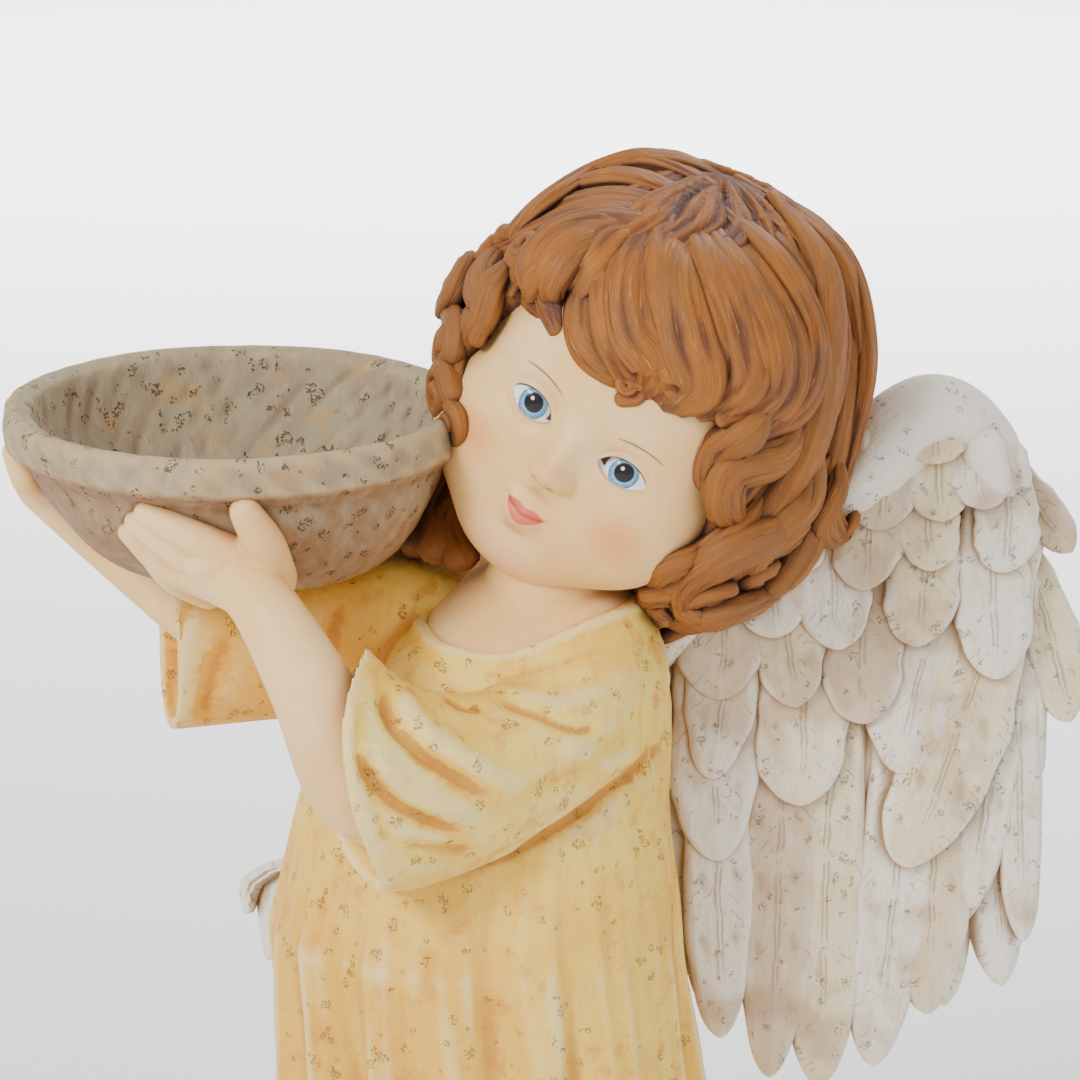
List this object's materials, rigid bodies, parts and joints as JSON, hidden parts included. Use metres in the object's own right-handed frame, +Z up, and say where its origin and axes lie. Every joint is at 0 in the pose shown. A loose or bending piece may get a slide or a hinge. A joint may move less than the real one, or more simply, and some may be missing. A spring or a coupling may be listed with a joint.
{
  "type": "angel figurine",
  "caption": "Painted resin child angel standing on a low round base, head tilted, holding an open bowl up beside its head, with a pair of feathered wings.",
  "frame": {"origin": "middle of the flat underside of the base", "axes": "+Z up, -Y the front that the face looks to, +X the figure's left"},
  "size_m": [0.2969, 0.2091, 0.3771],
  "materials": {
    "painted_resin": "matte hand-painted resin, yellow robe with darker wash in the folds",
    "skin_paint": "satin cream skin paint",
    "hair_paint": "satin chestnut paint with golden ridges and a dark wash",
    "robe_paint": "matte yellow paint, orange in the folds and cream on the ridges, pitted",
    "wing_paint": "matte off-white paint with a taupe wash between the feathers",
    "bowl_paint": "matte stone-coloured paint with dark pits"
  },
  "bodies": {
    "root": {"angel": "painted_resin"}
  },
  "joints": []
}
